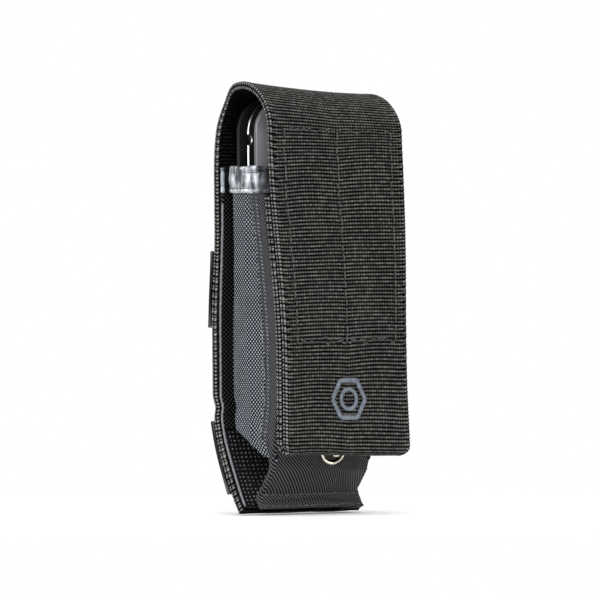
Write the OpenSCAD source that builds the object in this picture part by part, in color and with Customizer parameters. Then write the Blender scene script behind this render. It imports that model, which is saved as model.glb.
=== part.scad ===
// Webbing belt sheath with a folding multi tool inside.
// X is the width, -Y is the front, +Z is up. The hem rests at z = 0.
// Depths are measured forward from the rear face of the back webbing.

/* [Sheath] */
// Width of the webbing in the back and the flap
web_w = 50.8; // [50:0.2:54]
// Thickness of the webbing
web_t = 2.4; // [2:0.1:2.4]
// Height from the hem to the top of the arch
sheath_h = 140; // [140:1:146]
// Depth of the arch over the mouth
arch_depth = 32; // [32:0.5:34]
// Depth from the back webbing to the flap, low down
flap_depth = 39; // [39:0.5:41]
// Thickness of the nylon cloth
cloth_t = 1.2; // [1:0.1:1.2]
// Width of the pouch between its outer sides
pouch_w = 47.6; // [47:0.2:48]
// Height of the mouth above the hem
mouth_z = 112; // [108:1:113]
// Height of the mouth binding
binding_h = 8; // [6:0.5:10]

/* [Flap] */
// Height of the flap's folded end above the hem
flap_end_z = 19.4; // [18:0.2:22]
// Gap between the two layers of the folded flap
fold_gap = 1; // [0.9:0.1:1.1]
// Height of the top of the folded-back layer
return_top_z = 108; // [90:1:110]
// Distance across the flats of the stitched nut emblem
badge_size = 13; // [8:0.5:20]
// Height of the emblem's centre
badge_z = 37.5; // [32:0.5:40]

/* [Back] */
// Width of the two cross bars
bar_h = 25.4; // [24:0.2:26]
// Height of the lower bar's lower edge
lower_bar_z = 8; // [6:0.5:8]
// Height of the upper bar's lower edge
upper_bar_z = 60; // [58:0.5:60]
// Width of the belt strap
strap_w = 25.4; // [20:0.2:30]
// Room for the belt, front to back
belt_gap = 5; // [4:0.5:6]

/* [Snaps] */
// Diameter of a snap stud's flange
stud_d = 10.4; // [9:0.2:11]
// Diameter of a snap stud's head
stud_head_d = 5.6; // [5:0.2:6]
// Height of the lower stud
lower_stud_z = 21; // [20:0.5:22]
// Height of the upper stud
upper_stud_z = 43; // [42:0.5:44]
// Height of the belt strap's stud
strap_stud_z = 44; // [43:0.5:45]

/* [Tool] */
// Half width of one handle
handle_r = 10; // [9.8:0.1:10]
// Half the gap between the closed handles
handle_gap = 0.4; // [0.3:0.1:0.6]
// Height of the tang pins
tang_z = 123.5; // [123:0.5:123.5]
// Distance from the tang pins to the blade pins
handle_len = 90; // [90:1:91]
// Thickness of a handle plate
plate_t = 1.4; // [1.3:0.1:1.4]
// Length of the folding blades from the pin
blade_len = 76; // [60:1:77]
// Height of the pliers' pivot
pivot_z = 104; // [103.5:0.5:104]
// Length of the jaws below the pivot
nose_len = 33; // [28:1:34]

/* [Hidden] */
$fn = 64;

// Colours
webbing_black = [0.10, 0.10, 0.10];
cloth_navy = [0.20, 0.22, 0.26];
vinyl_black = [0.05, 0.05, 0.06];
badge_grey = [0.50, 0.54, 0.58];
steel_bright = [0.75, 0.75, 0.74];
steel_dark = [0.30, 0.30, 0.32];

// Side outline of the sheath
badge_t = 0.5;
bar_t = 2;
strap_t = 2;
strap_reach = bar_t + belt_gap + strap_t;
back_y = (flap_depth + badge_t - strap_reach) / 2;
hem_forward = 14.7;
hem_curve_z = 40;
hem_front_d = 21.4;
hem_h = 6;
arch_r = arch_depth / 2;
spring_z = sheath_h - arch_r;
bulge_z = 50;
lining_t = 1;
fold_r = web_t + fold_gap / 2;
fold_z = flap_end_z + fold_r;
panel_clear = 0.9;
panel_bend_z = 36;
panel_toe_z = 14;
panel_toe_d = 28;
panel_toe_w = 43;
panel_taper_z = 26;
gusset_t = 1;
fit = 0.1;

// Places in the tool
pin_x = handle_r + handle_gap;
blade_z = tang_z - handle_len;
pin_r = 2;
pin_head_r = 3.4;
pin_head_t = 0.6;
bore_r = pin_r + 0.05;
tool_rear_d = 6.5;
tool_front_d = 17.3;
liner_rear_d = 12.2;
liner_front_d = 13.2;
rear_plate_d = tool_rear_d + plate_t;
front_plate_d = tool_front_d - plate_t;
jaw_rear_d = tool_rear_d + 1.9;
jaw_front_d = liner_rear_d - 0.5;
jaw_mid_d = (jaw_rear_d + jaw_front_d) / 2;
cutter_depth = 2;
lap_gap = 0.05;
lap_r = 8;
tang_r = 7.5;
pivot_r = 2.5;

// Depths between which each folding blade lies, behind one another
blade_slots = [
    for (s = [[1.65, 2.75], [3, 4.1], [4.35, 5.45], [7.1, 9]])
        [tool_rear_d + s[0], tool_rear_d + s[1]]
];
blade_root_r = 5.6;
blade_in = 1;
blade_out = 8.2;

// --- Side view helpers: points are [y, z] ---

function at(d, z) = [back_y - d, z];
function smooth(t) = let (c = min(max(t, 0), 1)) c * c * (3 - 2 * c);
function back_d(z) = hem_forward * pow(max(1 - z / hem_curve_z, 0), 2);
function front_d(z) =
    flap_depth - (flap_depth - arch_depth) * smooth((z - bulge_z) / (spring_z - bulge_z));
function panel_high_d(z) = front_d(z) - 2 * web_t - fold_gap - panel_clear;
function panel_d(z) =
    z <= hem_h ? hem_front_d
    : z <= panel_toe_z ? hem_front_d
        + (panel_toe_d - hem_front_d) * (z - hem_h) / (panel_toe_z - hem_h)
    : z <= panel_bend_z ? panel_toe_d
        + (panel_high_d(panel_bend_z) - panel_toe_d)
        * (z - panel_toe_z) / (panel_bend_z - panel_toe_z)
    : panel_high_d(z);

function heights(a, b, n) = [for (i = [0:n]) a + (b - a) * i / n];
function heading(p, i) =
    let (a = p[max(i - 1, 0)], b = p[min(i + 1, len(p) - 1)], v = b - a) v / norm(v);
function beside(p, i, t) = let (v = heading(p, i)) p[i] + t * [-v[1], v[0]];

// Closed outline of a sheet that follows path p, from offset t0 to offset t1
function ribbon(p, t0, t1) = concat(
    [for (i = [0:len(p) - 1]) beside(p, i, t0)],
    [for (i = [len(p) - 1:-1:0]) beside(p, i, t1)]
);

// Extrudes a side view across the width, centred on x
module across(w, x = 0)
    translate([x, 0, 0])
        rotate([90, 0, 90])
            linear_extrude(w, center = true)
                children();

module sheet(p, t0, t1, w, x = 0)
    across(w, x)
        polygon(ribbon(p, t0, t1));

// Extrudes a front view of [x, z] between two depths
module slab(d0, d1)
    translate([0, back_y - d0, 0])
        rotate([90, 0, 0])
            linear_extrude(d1 - d0)
                children();

// Puts children, drawn along +Z, at a depth and height with +Z pointing forward
module facing_front(d, z, lean = 0)
    translate([0, back_y - d, z])
        rotate([90 + lean, 0, 0])
            children();

// --- Back and pouch ---

back_path = [for (z = heights(0, hem_curve_z, 16)) at(back_d(z), z)];
full_back_path = concat(back_path, [at(0, spring_z)]);

module back_webbing()
    color(webbing_black)
        difference() {
            sheet(full_back_path, 0, web_t, web_w);
            facing_front(-1, strap_stud_z)
                cylinder(r = 1.6, h = web_t + 2);
        }

module back_lining()
    color(cloth_navy)
        sheet(concat(back_path, [at(0, mouth_z)]), web_t, web_t + lining_t, pouch_w - 1);

// The panel's front face, from the hem up to the underside of the binding
panel_path = [
    for (z = concat([1.5, hem_h, panel_toe_z], heights(panel_bend_z, bulge_z, 1),
        heights(bulge_z + 6, mouth_z - binding_h, 8))) at(panel_d(z), z)
];
panel_outline = [
    [-pouch_w / 2, mouth_z], [pouch_w / 2, mouth_z], [pouch_w / 2, panel_taper_z],
    [panel_toe_w / 2, panel_toe_z], [panel_toe_w / 2, 0], [-panel_toe_w / 2, 0],
    [-panel_toe_w / 2, panel_toe_z], [-pouch_w / 2, panel_taper_z]
];
lower_stud_lean = atan((panel_d(panel_bend_z) - panel_toe_d) / (panel_bend_z - panel_toe_z));

module at_studs()
    for (s = [[lower_stud_z, lower_stud_lean], [upper_stud_z, 0]])
        facing_front(panel_d(s[0]), s[0], s[1])
            children();

module front_panel()
    color(cloth_navy)
        difference() {
            intersection() {
                sheet(panel_path, 0, -cloth_t, pouch_w);
                slab(0, flap_depth)
                    polygon(panel_outline);
            }
            at_studs()
                translate([0, 0, -4])
                    cylinder(r = 1.6, h = 8);
        }

// Side wall between the lining and the front panel, cut off slanting at the bottom
module gusset(x)
    color(cloth_navy)
        across(gusset_t, x)
            polygon(concat(
                [for (z = heights(26, mouth_z - binding_h, 6))
                    at(back_d(z) + web_t + lining_t + fit, z)],
                [for (z = heights(mouth_z - binding_h, bulge_z, 8))
                    at(panel_d(z) - cloth_t - fit, z)],
                [at(panel_d(panel_bend_z) - cloth_t - fit, panel_bend_z),
                    at(panel_d(18) - cloth_t - 4 * fit, 18)]
            ));

module gusset_left() gusset(-(pouch_w / 2 - gusset_t / 2));
module gusset_right() gusset(pouch_w / 2 - gusset_t / 2);

// Vinyl band around the mouth: two sides and the front
module mouth_binding() {
    band_t = 1.6;
    low_z = mouth_z - binding_h;
    rear_d = web_t + lining_t + fit;
    color(vinyl_black)
        difference() {
            across(pouch_w + 0.8)
                polygon([at(rear_d, low_z), at(panel_d(low_z), low_z),
                    at(panel_d(mouth_z), mouth_z), at(rear_d, mouth_z)]);
            across(pouch_w + 0.8 - 2 * band_t)
                polygon([at(rear_d - 1, low_z - 1), at(panel_d(low_z) - cloth_t, low_z - 1),
                    at(panel_d(mouth_z) - cloth_t, mouth_z + 1), at(rear_d - 1, mouth_z + 1)]);
        }
}

// A point on the inner face of the lining, beside height z of the back's rear face
function lining_face(z) =
    let (slope = 2 * hem_forward / hem_curve_z * (1 - z / hem_curve_z),
        reach = (web_t + lining_t + fit) / norm([1, slope]))
    at(back_d(z) + reach, z + reach * slope);

// Turned seam allowances, sewn between the lining and the front panel
module bottom_hem()
    color(cloth_navy)
        across(panel_toe_w - 1)
            polygon(concat(
                [for (z = heights(0, 4, 4)) lining_face(z)],
                [at(hem_front_d - cloth_t - fit, hem_h - fit),
                    at(hem_front_d - cloth_t - fit, lining_face(0)[1])]
            ));

module upper_bar()
    color(webbing_black)
        sheet([at(0, upper_bar_z), at(0, upper_bar_z + bar_h)], -bar_t, -fit / 2, web_w);

module lower_bar()
    color(webbing_black)
        sheet([for (z = heights(lower_bar_z, lower_bar_z + bar_h, 10)) at(back_d(z), z)],
            -bar_t, -fit / 2, web_w);

// --- Snaps ---

flange_t = 0.8;
stud_reach = 3.2;

module stud() {
    rotate_extrude()
        union() {
            square([stud_d / 2 - flange_t / 2, flange_t]);
            translate([stud_d / 2 - flange_t / 2, flange_t / 2])
                circle(r = flange_t / 2, $fn = 24);
        }
    difference() {
        cylinder(d = stud_head_d, h = stud_reach);
        translate([0, 0, flange_t])
            cylinder(r = 1.4, h = stud_reach);
    }
    translate([0, 0, -cloth_t])
        cylinder(r = 1.5, h = cloth_t);
}

module snap_studs() color(steel_bright) at_studs() stud();

module stud_rivets()
    color(steel_dark)
        at_studs()
            translate([0, 0, -cloth_t - 0.7])
                cylinder(r = 4.5, h = 0.7);

module strap_stud()
    color(steel_dark)
        translate([0, back_y, strap_stud_z])
            rotate([-90, 0, 0]) {
                cylinder(d = stud_d, h = flange_t);
                cylinder(d = stud_head_d, h = stud_reach);
                translate([0, 0, -web_t])
                    cylinder(r = 1.5, h = web_t);
            }

// --- Belt strap ---

strap_hinge_z = 97;
strap_tab_z = 36;
strap_tab_d = -(flange_t + 0.2);
strap_far_d = -(bar_t + belt_gap);

// The strap's front face, from its sewn end down to the tab
strap_path = [
    at(0, strap_hinge_z), at(0, strap_hinge_z - 1.5), at(-0.6, strap_hinge_z - 3),
    at(strap_far_d + 0.8, 91), at(strap_far_d, 89), at(strap_far_d, 59),
    at(strap_far_d + 0.8, 57),
    at(strap_tab_d - 0.6, 52.5), at(strap_tab_d, 50.5), at(strap_tab_d, strap_tab_z)
];

module strap_anchor()
    color(webbing_black)
        sheet([at(0, strap_hinge_z + fit), at(0, strap_hinge_z + 7)], -strap_t, 0, strap_w);

module belt_strap()
    color(webbing_black)
        difference() {
            sheet(strap_path, 0, strap_t, strap_w);
            translate([0, back_y - strap_tab_d + strap_t + 1, strap_stud_z])
                rotate([90, 0, 0])
                    cylinder(r = 3.6, h = strap_t + 2);
        }

module strap_cap()
    color(steel_dark)
        translate([0, back_y - strap_tab_d + strap_t, strap_stud_z])
            rotate([-90, 0, 0])
                difference() {
                    rotate_extrude()
                        polygon([[0, 0], [6.2, 0], [6.2, 0.8], [5.4, 1.5], [3, 1.8], [0, 1.8]]);
                    translate([0, 0, -1])
                        cylinder(r = 3.6, h = 1.8);
                }

// --- Flap ---

// The strap's outer face: over the arch, down the front, round the fold and up inside
flap_path = concat(
    [at(0, spring_z + fit), at(0, spring_z + 1)],
    [for (i = [1:24]) at(arch_r * (1 - cos(180 * i / 24)), spring_z + arch_r * sin(180 * i / 24))],
    [for (z = heights(spring_z - 6, bulge_z, 10)) at(front_d(z), z)],
    [for (i = [0:10]) at(flap_depth - fold_r + fold_r * cos(180 * i / 10),
        fold_z - fold_r * sin(180 * i / 10))],
    [for (z = heights(bulge_z, return_top_z, 8)) at(front_d(z) - 2 * fold_r, z)]
);

module flap_webbing()
    color(webbing_black)
        difference() {
            sheet(flap_path, 0, web_t, web_w);
            facing_front(flap_depth - 2 * fold_r - 1, upper_stud_z)
                cylinder(r = 4.9, h = web_t + 1.2);
        }

// Ring that grips the upper stud, with its collar through the inner layer
module flap_socket()
    color(steel_bright)
        facing_front(flap_depth - 2 * fold_r, upper_stud_z)
            difference() {
                union() {
                    translate([0, 0, 0.1])
                        cylinder(r = 4.8, h = web_t);
                    translate([0, 0, web_t + 0.02])
                        cylinder(r = 6.2, h = fold_gap - 0.1);
                }
                translate([0, 0, -1])
                    cylinder(r = 4, h = web_t + fold_gap + 2);
            }

module flap_badge()
    color(badge_grey)
        facing_front(flap_depth, badge_z)
            difference() {
                cylinder(d = badge_size / cos(30), h = badge_t, $fn = 6);
                translate([0, 0, -1])
                    cylinder(d = badge_size / 2, h = badge_t + 2);
            }

// --- Pliers ---

// Straight arm in the front view from point a to point b
module arm(a, b, w) {
    v = b - a;
    translate(a)
        rotate(atan2(v[1], v[0]))
            translate([0, -w / 2])
                square([norm(v), w]);
}

// Gripping half of a jaw, right of the centre line, with teeth along its inner edge
module nose() {
    pitch = 1.6;
    teeth = floor((nose_len * 0.45) / pitch);
    tip_z = pivot_z - nose_len;
    difference() {
        polygon(concat(
            [[0.15, tip_z], [2.4, tip_z], [5.4, tip_z + nose_len * 0.45],
                [8.4, pivot_z - lap_r - 1], [7, pivot_z - 2], [0.15, pivot_z - 2]],
            [for (i = [teeth:-1:1], k = [0, 1])
                [k == 0 ? 0.15 : 0.75, tip_z + 1 + (i - 0.5 * k) * pitch]]
        ));
        translate([0, pivot_z - lap_r - 6.5])
            circle(r = 3);
    }
}

// One jaw, with its tang on the left and its nose on the right of the pivot
module jaw(d0, d1, far_d0, far_d1)
    difference() {
        union() {
            slab(d0, d1) {
                translate([0, pivot_z])
                    circle(r = lap_r);
                arm([0, pivot_z], [-pin_x, tang_z], 9);
                nose();
            }
            slab(jaw_rear_d, jaw_front_d)
                translate([-pin_x, tang_z])
                    circle(r = tang_r);
            slab(far_d0, far_d1)
                difference() {
                    nose();
                    translate([0, pivot_z])
                        circle(r = lap_r + 0.5);
                }
        }
        slab(jaw_rear_d - 1, jaw_front_d + 1) {
            translate([0, pivot_z])
                circle(r = pivot_r + 0.05);
            translate([-pin_x, tang_z])
                circle(r = bore_r);
        }
        slab(jaw_front_d - cutter_depth, jaw_front_d + 1)
            cutter_seat(0.05);
    }

// Outline of the cutter insert in the nose, grown by a clearance
module cutter_seat(clear)
    translate([3.6 - clear, pivot_z - lap_r - 4.6 - clear])
        square([2.6 + 2 * clear, 3.4 + 2 * clear]);

module cutter() slab(jaw_front_d - cutter_depth, jaw_front_d + 0.2) cutter_seat(0);

module left_jaw()
    color(steel_dark) jaw(jaw_mid_d + lap_gap, jaw_front_d, jaw_rear_d, jaw_mid_d + lap_gap);
module right_jaw()
    color(steel_dark)
        mirror([1, 0, 0])
            jaw(jaw_rear_d, jaw_mid_d - lap_gap, jaw_mid_d - lap_gap, jaw_front_d);
module left_cutter() color(steel_bright) cutter();
module right_cutter() color(steel_bright) mirror([1, 0, 0]) cutter();

// Pin along the depth with a head at each end
module pin(x, z, r, head_r, head_t, d0, d1) {
    slab(d0, d1)
        translate([x, z])
            circle(r = r);
    for (d = [d0, d1 - head_t])
        slab(d, d + head_t)
            translate([x, z])
                circle(r = head_r);
}

module pliers_pivot()
    color(steel_bright)
        pin(0, pivot_z, pivot_r, 4, 0.4, jaw_rear_d - 0.4, jaw_front_d + 0.4);

module handle_pin(x, z)
    color(steel_bright)
        pin(x, z, pin_r, pin_head_r, pin_head_t, tool_rear_d - pin_head_t,
            tool_front_d + pin_head_t);

module left_tang_pin() handle_pin(-pin_x, tang_z);
module right_tang_pin() handle_pin(pin_x, tang_z);
module left_blade_pin() handle_pin(-pin_x, blade_z);
module right_blade_pin() handle_pin(pin_x, blade_z);

// Flat rings on a pin, one for each pair of depths in gaps
module washers(x, z, r, gaps)
    color(steel_bright)
        for (g = gaps)
            slab(g[0] + 0.02, g[1] - 0.02)
                translate([x, z])
                    difference() {
                        circle(r = r);
                        circle(r = bore_r);
                    }

tang_gaps = [
    [rear_plate_d, jaw_rear_d], [jaw_front_d, liner_rear_d], [liner_front_d, front_plate_d]
];
blade_gaps = concat(
    [[rear_plate_d, blade_slots[0][0]]],
    [for (i = [0:1]) [blade_slots[i][1], blade_slots[i + 1][0]]],
    [[blade_slots[2][1], liner_rear_d], [liner_front_d, blade_slots[3][0]],
        [blade_slots[3][1], front_plate_d]]
);
module left_tang_washers() washers(-pin_x, tang_z, 5.5, tang_gaps);
module right_tang_washers() washers(pin_x, tang_z, 5.5, tang_gaps);
module left_blade_washers() washers(-pin_x, blade_z, 4.5, blade_gaps);
module right_blade_washers() washers(pin_x, blade_z, 4.5, blade_gaps);

// --- Handles ---

// Handle plate with round ends, drawn on the left side
module plate(d0, d1)
    color(steel_dark)
        slab(d0, d1)
            difference() {
                union() {
                    for (z = [blade_z, tang_z])
                        translate([-pin_x, z])
                            circle(r = handle_r);
                    translate([-pin_x - handle_r, blade_z])
                        square([2 * handle_r, handle_len]);
                }
                for (z = [blade_z, tang_z])
                    translate([-pin_x, z])
                        circle(r = bore_r);
                // finger cut-out that uncovers the blades' nail nicks
                translate([-pin_x - handle_r - 11, tang_z - 40])
                    circle(r = 14);
            }

module left_front_plate() plate(front_plate_d, tool_front_d);
module left_rear_plate() plate(tool_rear_d, rear_plate_d);
module right_front_plate() mirror([1, 0, 0]) plate(front_plate_d, tool_front_d);
module right_rear_plate() mirror([1, 0, 0]) plate(tool_rear_d, rear_plate_d);

// Bright plate between the front blade and the others, notched below its round end
module liner()
    color(steel_bright)
        difference() {
            plate(liner_rear_d, liner_front_d);
            slab(liner_rear_d - 1, liner_front_d + 1)
                translate([-pin_x - handle_r - 0.4, tang_z - 2.6])
                    circle(r = 1.8);
        }

module left_liner() liner();
module right_liner() mirror([1, 0, 0]) liner();

// Back springs between the plates, on the inner side of the handle
module spacer()
    color(steel_bright)
        for (gap = [[rear_plate_d, liner_rear_d], [liner_front_d, front_plate_d]])
            slab(gap[0] + 0.01, gap[1] - 0.01)
                union() {
                    translate([-pin_x + 1, blade_z + 9])
                        square([7.2, 26]);
                    translate([-pin_x + 4.6, blade_z + 35])
                        circle(r = 3.6);
                }

module left_spacer() spacer();
module right_spacer() mirror([1, 0, 0]) spacer();

// --- Folding blades, drawn folded into the left handle, relative to their pin ---

module at_blade_pin(slot)
    difference() {
        union() {
            slab(slot[0], slot[1])
                translate([-pin_x, blade_z])
                    circle(r = blade_root_r);
            slab(slot[0], slot[1])
                translate([-pin_x, blade_z])
                    children();
        }
        slab(slot[0] - 1, slot[1] + 1)
            translate([-pin_x, blade_z])
                circle(r = bore_r);
    }

// Blade outline: points run up the outer side and down the inner side, above the neck
module outline(points)
    polygon(concat(
        [[-blade_in, 8], [2, 4.6], [0.5, -1], [-blade_root_r + 1, -1], [-blade_out, 9]],
        points
    ));

// Teeth along the inner side, from the top one down
function teeth_down(count, z0, pitch, depth) =
    [for (i = [count:-1:0], k = [0, 1]) [-blade_in - depth * k, z0 + (i - 0.5 * k) * pitch]];

module knife_blade()
    color(steel_bright)
        difference() {
            at_blade_pin(blade_slots[0])
                outline([[-blade_out, blade_len - 22], [-blade_out + 1.5, blade_len - 8],
                    [-blade_out + 4.6, blade_len], [-blade_in - 0.4, blade_len - 12],
                    [-blade_in, blade_len - 24]]);
            slab(blade_slots[0][0] - 1, blade_slots[0][1] + 1)
                translate([-pin_x - blade_out + 2.6, blade_z + blade_len - 34])
                    circle(r = 1.5);
        }

module saw_blade()
    color(steel_bright)
        at_blade_pin(blade_slots[1])
            outline(concat(
                [[-blade_out, blade_len - 6], [-blade_out + 2, blade_len - 2],
                    [-blade_in, blade_len - 2]],
                teeth_down(22, 15, 2.6, 1.2)
            ));

module large_driver()
    color(steel_bright)
        at_blade_pin(blade_slots[2])
            outline([[-blade_out + 1, 40], [-blade_out + 1, 52], [-blade_out, 56],
                [-blade_in, 56], [-blade_in - 1, 52], [-blade_in - 1, 40]]);

module file_blade()
    color(steel_bright)
        at_blade_pin(blade_slots[3])
            outline(concat(
                [[-blade_out, blade_len - 4], [-blade_out + 1.5, blade_len - 2],
                    [-blade_in - 1, blade_len - 2]],
                teeth_down(32, 18, 1.7, 0.4)
            ));

module serrated_blade()
    color(steel_bright)
        mirror([1, 0, 0])
            at_blade_pin(blade_slots[0])
                outline(concat(
                    [[-blade_out, blade_len - 16], [-blade_out + 3, blade_len - 2],
                        [-blade_in - 1.5, blade_len - 4], [-blade_in, blade_len - 14]],
                    [for (i = [13:-1:0], a = [70:-35:-70])
                        [-blade_in - 1.2 * cos(a), 20 + i * 3.2 + 1.5 * sin(a)]]
                ));

module can_opener()
    color(steel_bright)
        mirror([1, 0, 0])
            at_blade_pin(blade_slots[1])
                outline(concat(
                    [[-blade_out, 36], [-blade_out + 2, 41], [-blade_in - 3, 44],
                        [-blade_in - 1, 40]],
                    [for (a = [80:-20:-80]) [-blade_in - 3 * cos(a), 30 + 3 * sin(a)]]
                ));

module small_driver()
    color(steel_bright)
        mirror([1, 0, 0])
            at_blade_pin(blade_slots[2])
                outline([[-blade_out + 2, 22], [-blade_out + 2, 46], [-blade_in - 2.2, 46],
                    [-blade_in - 2.2, 22]]);

module awl_blade()
    color(steel_bright)
        mirror([1, 0, 0])
            difference() {
                at_blade_pin(blade_slots[3])
                    outline([[-blade_out, 30], [-blade_out + 3.4, 56], [-blade_in - 2, 34],
                        [-blade_in, 26]]);
                slab(blade_slots[3][0] - 1, blade_slots[3][1] + 1)
                    translate([-pin_x - blade_out + 3, blade_z + 36])
                        circle(r = 1, $fn = 24);
            }

back_webbing();
back_lining();
front_panel();
gusset_left();
gusset_right();
mouth_binding();
bottom_hem();
upper_bar();
lower_bar();
strap_anchor();
snap_studs();
stud_rivets();
strap_stud();
flap_webbing();
flap_socket();
flap_badge();
belt_strap();
strap_cap();
left_jaw();
right_jaw();
pliers_pivot();
left_cutter();
right_cutter();
left_tang_pin();
right_tang_pin();
left_tang_washers();
right_tang_washers();
left_front_plate();
left_rear_plate();
right_front_plate();
right_rear_plate();
left_liner();
right_liner();
left_spacer();
right_spacer();
left_blade_pin();
right_blade_pin();
left_blade_washers();
right_blade_washers();
knife_blade();
saw_blade();
large_driver();
file_blade();
serrated_blade();
can_opener();
small_driver();
awl_blade();
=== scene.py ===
import math

import bpy
import numpy as np
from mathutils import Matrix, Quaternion, Vector

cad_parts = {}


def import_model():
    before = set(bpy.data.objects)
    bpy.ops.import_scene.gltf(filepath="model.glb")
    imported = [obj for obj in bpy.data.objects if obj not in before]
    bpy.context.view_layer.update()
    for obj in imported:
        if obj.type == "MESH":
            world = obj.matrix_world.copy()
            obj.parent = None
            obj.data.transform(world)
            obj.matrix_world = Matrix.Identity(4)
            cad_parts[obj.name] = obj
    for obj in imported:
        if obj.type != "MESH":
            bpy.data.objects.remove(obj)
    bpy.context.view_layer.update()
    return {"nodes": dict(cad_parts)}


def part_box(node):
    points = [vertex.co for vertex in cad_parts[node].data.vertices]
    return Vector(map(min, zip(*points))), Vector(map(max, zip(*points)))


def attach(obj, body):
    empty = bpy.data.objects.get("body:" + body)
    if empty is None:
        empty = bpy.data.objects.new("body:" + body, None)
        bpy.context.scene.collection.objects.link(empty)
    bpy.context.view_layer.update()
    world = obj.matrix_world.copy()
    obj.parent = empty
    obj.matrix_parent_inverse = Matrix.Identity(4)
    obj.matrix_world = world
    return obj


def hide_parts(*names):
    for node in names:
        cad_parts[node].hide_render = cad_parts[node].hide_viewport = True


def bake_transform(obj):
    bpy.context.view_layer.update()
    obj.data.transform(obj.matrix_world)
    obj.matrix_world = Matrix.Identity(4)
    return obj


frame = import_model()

# A belt sheath of ribbed webbing with a folding multi tool inside.
# Soft pieces are worked out in millimetres as (x, depth, height). Depth runs forward from
# the rear face of the back webbing, and height runs up from the hem.

MM = 0.001


def low(node):
    return Vector(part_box(node)[0]) / MM


def high(node):
    return Vector(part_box(node)[1]) / MM


# --- Sizes read from the frame ---

BACK_Y = high("back_webbing").y
WEB_W = 2 * high("back_webbing").x
TOP_Z = high("flap_webbing").z
FLAP_D = BACK_Y - low("flap_webbing").y
FLAP_END_Z = low("flap_webbing").z
MOUTH_Z = high("mouth_binding").z
BAND_LOW_Z = low("mouth_binding").z
LOWER_BAR_Z = low("lower_bar").z
UPPER_BAR_Z = low("upper_bar").z
BAR_H = high("upper_bar").z - UPPER_BAR_Z
STRAP_W = 2 * high("belt_strap").x
STRAP_TOP_Z = high("strap_anchor").z
STRAP_END_Z = low("belt_strap").z
STRAP_FAR_D = BACK_Y - high("belt_strap").y
BADGE_Z = (low("flap_badge").z + high("flap_badge").z) / 2
BADGE_R = high("flap_badge").x

# --- Sizes of the sewn parts ---

# Thicknesses of the main webbing, of the narrower webbing, and of the cloths
WEB_T = 2.6
BAR_T = 2.0
LINING_T = 1.0
CLOTH_T = 1.0

# Side profile: the arch, the flap's widest place, the back's curve, and the flap's fold
# and the top of its inner layer
ARCH_D = 32.0
SPRING_Z = TOP_Z - ARCH_D / 2
BULGE_Z = 50.0
HEM_FORWARD = 14.7
HEM_CURVE_Z = 40.0
FOLD_R = 2.95
FOLD_Z = FLAP_END_Z + FOLD_R
RETURN_TOP_Z = 103.5

# Front panel: its gap to the flap, its bend, its toe and its hem
PANEL_CLEAR = 0.9
PANEL_BEND_Z = 36.0
TOE_Z = 14.0
TOE_D = 28.0
HEM_D = 21.4
HEM_H = 6.0
HEM_LOW_Z = 1.7
HEM_SEAM_Z = 3.9

# How far the arch hangs lower at its right end
SAG = 4.7

# --- Webbing weave ---

# Pitch of the ribs, width of a yarn, height of the relief and width of the rounded edge
RIB = 1.2
BEAD = 1.06
RELIEF = 0.32
EDGE = 0.8
ROWS_PER_RIB = 4

# Lines of stitches that show on the flap
STITCH_X = (-20.4, 0.0, 20.4)
STITCH_TOP_Z = 125.0
STITCH_LOW_Z = 55.5


# --- Side profile ---

def smooth(t):
    """A step from 0 to 1 with soft ends, as t goes from 0 to 1."""
    t = np.clip(t, 0, 1)
    return t * t * (3 - 2 * t)


def hump(value, middle, spread):
    """A soft bump that is 1 at the middle and almost 0 two spreads away from it."""
    return np.exp(-(((value - middle) / spread) ** 2))


def squarish(value, power):
    """A sine or cosine pushed out towards its limits, which turns a round ring into a box."""
    return np.sign(value) * np.abs(value) ** power


def run_lengths(points):
    """Distance along a row of points from its start to each of them."""
    steps = np.linalg.norm(np.diff(points, axis=0), axis=1)
    return np.concatenate([[0], np.cumsum(steps)])


def back_d(z):
    return HEM_FORWARD * np.clip(1 - z / HEM_CURVE_Z, 0, None) ** 2


def front_d(z):
    return FLAP_D - (FLAP_D - ARCH_D) * smooth((z - BULGE_Z) / (SPRING_Z - BULGE_Z))


def panel_high_d(z):
    return front_d(z) - 2 * FOLD_R - PANEL_CLEAR


def panel_d(z):
    """Depth of the front panel's face, along the middle of the sheath."""
    bend_d = panel_high_d(PANEL_BEND_Z)
    return np.where(
        z >= PANEL_BEND_Z,
        panel_high_d(z),
        np.interp(z, [HEM_H, TOE_Z, PANEL_BEND_Z], [HEM_D, TOE_D, bend_d]),
    )


def sag(x, z):
    """How far the arch hangs down towards the right side."""
    left = np.clip((WEB_W / 2 - x) / WEB_W, 0, 1)
    return SAG * smooth((z - 112) / 26) * (1 - left ** 1.5)


def twist(x, z):
    """How far the right side of the flap stands forward, or back where it is negative."""
    share = np.clip((x + WEB_W / 2) / WEB_W, 0, 1)
    return share ** 1.5 * (3.4 * smooth((z - 60) / 55) - 2.2 * hump(z, 50, 27))


def droop(x, z):
    """How far the flap's bottom hangs lower towards the right."""
    return 1.3 * smooth((x + WEB_W / 2) / WEB_W) * smooth((60 - z) / 36)


def bow(x, z):
    """How far the back swells rearwards near its edges, save for a dip above the lower bar."""
    swell = 1.8 * smooth((92 - z) / 34) + 0.8 * smooth((14 - z) / 12)
    dip = 1.1 * hump(z, 34.5, 2.2)
    return (dip - swell) * smooth((np.abs(x) - 9) / 14)


def coordinates(*parts):
    return np.stack(np.broadcast_arrays(*parts), -1)


def world(x, d, z):
    """Points in metres, from sideways place, depth and height in millimetres."""
    return coordinates(x, BACK_Y - d, z) * MM


def spot(x, d, z):
    return Vector(world(x, d, z).tolist())


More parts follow.
